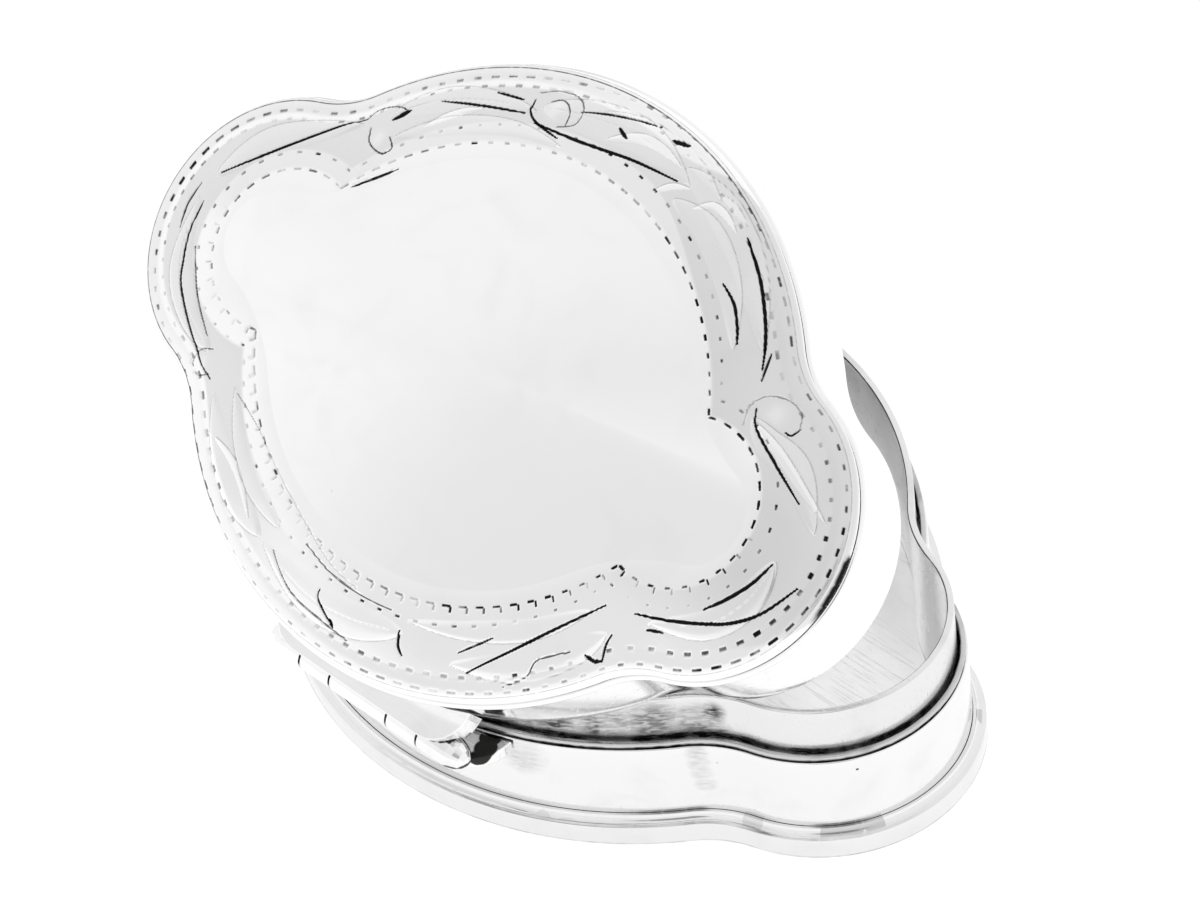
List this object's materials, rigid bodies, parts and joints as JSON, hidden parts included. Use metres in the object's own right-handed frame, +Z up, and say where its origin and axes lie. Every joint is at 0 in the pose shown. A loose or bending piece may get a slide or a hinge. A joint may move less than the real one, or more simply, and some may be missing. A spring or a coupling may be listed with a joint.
{
  "type": "trinket box",
  "caption": "Four-lobed silver trinket box with a stepped foot, an inner collar and a cushion-topped lid hinged along one long side, standing part open.",
  "frame": {"origin": "centre of the base plate's underside", "axes": "+Z up, +X along the box's long way, and the hinge on the -Y long side"},
  "size_m": [0.103, 0.0783, 0.0665],
  "materials": {
    "polished_silver": "polished, lightly scratched silver",
    "worn_silver": "silver, rubbed and tarnished in the corners",
    "hinge_silver": "rubbed silver"
  },
  "bodies": {
    "base": {"base_plate": "polished_silver", "foot_moulding": "polished_silver", "base_wall": "polished_silver", "collar": "worn_silver", "seat_wire": "worn_silver", "hinge_base": "hinge_silver", "hinge_pin": "hinge_silver"},
    "lid": {"lid_wall": "polished_silver", "lid_rim": "polished_silver", "lid_top": "polished_silver", "hinge_lid": "hinge_silver"}
  },
  "joints": [
    {"name": "lid_hinge", "type": "hinge", "parent": "base", "child": "lid", "pos_m": [0, -0.037, 0.0146], "axis": [1, 0, 0], "range_deg": [-35.2, 59.8]}
  ]
}
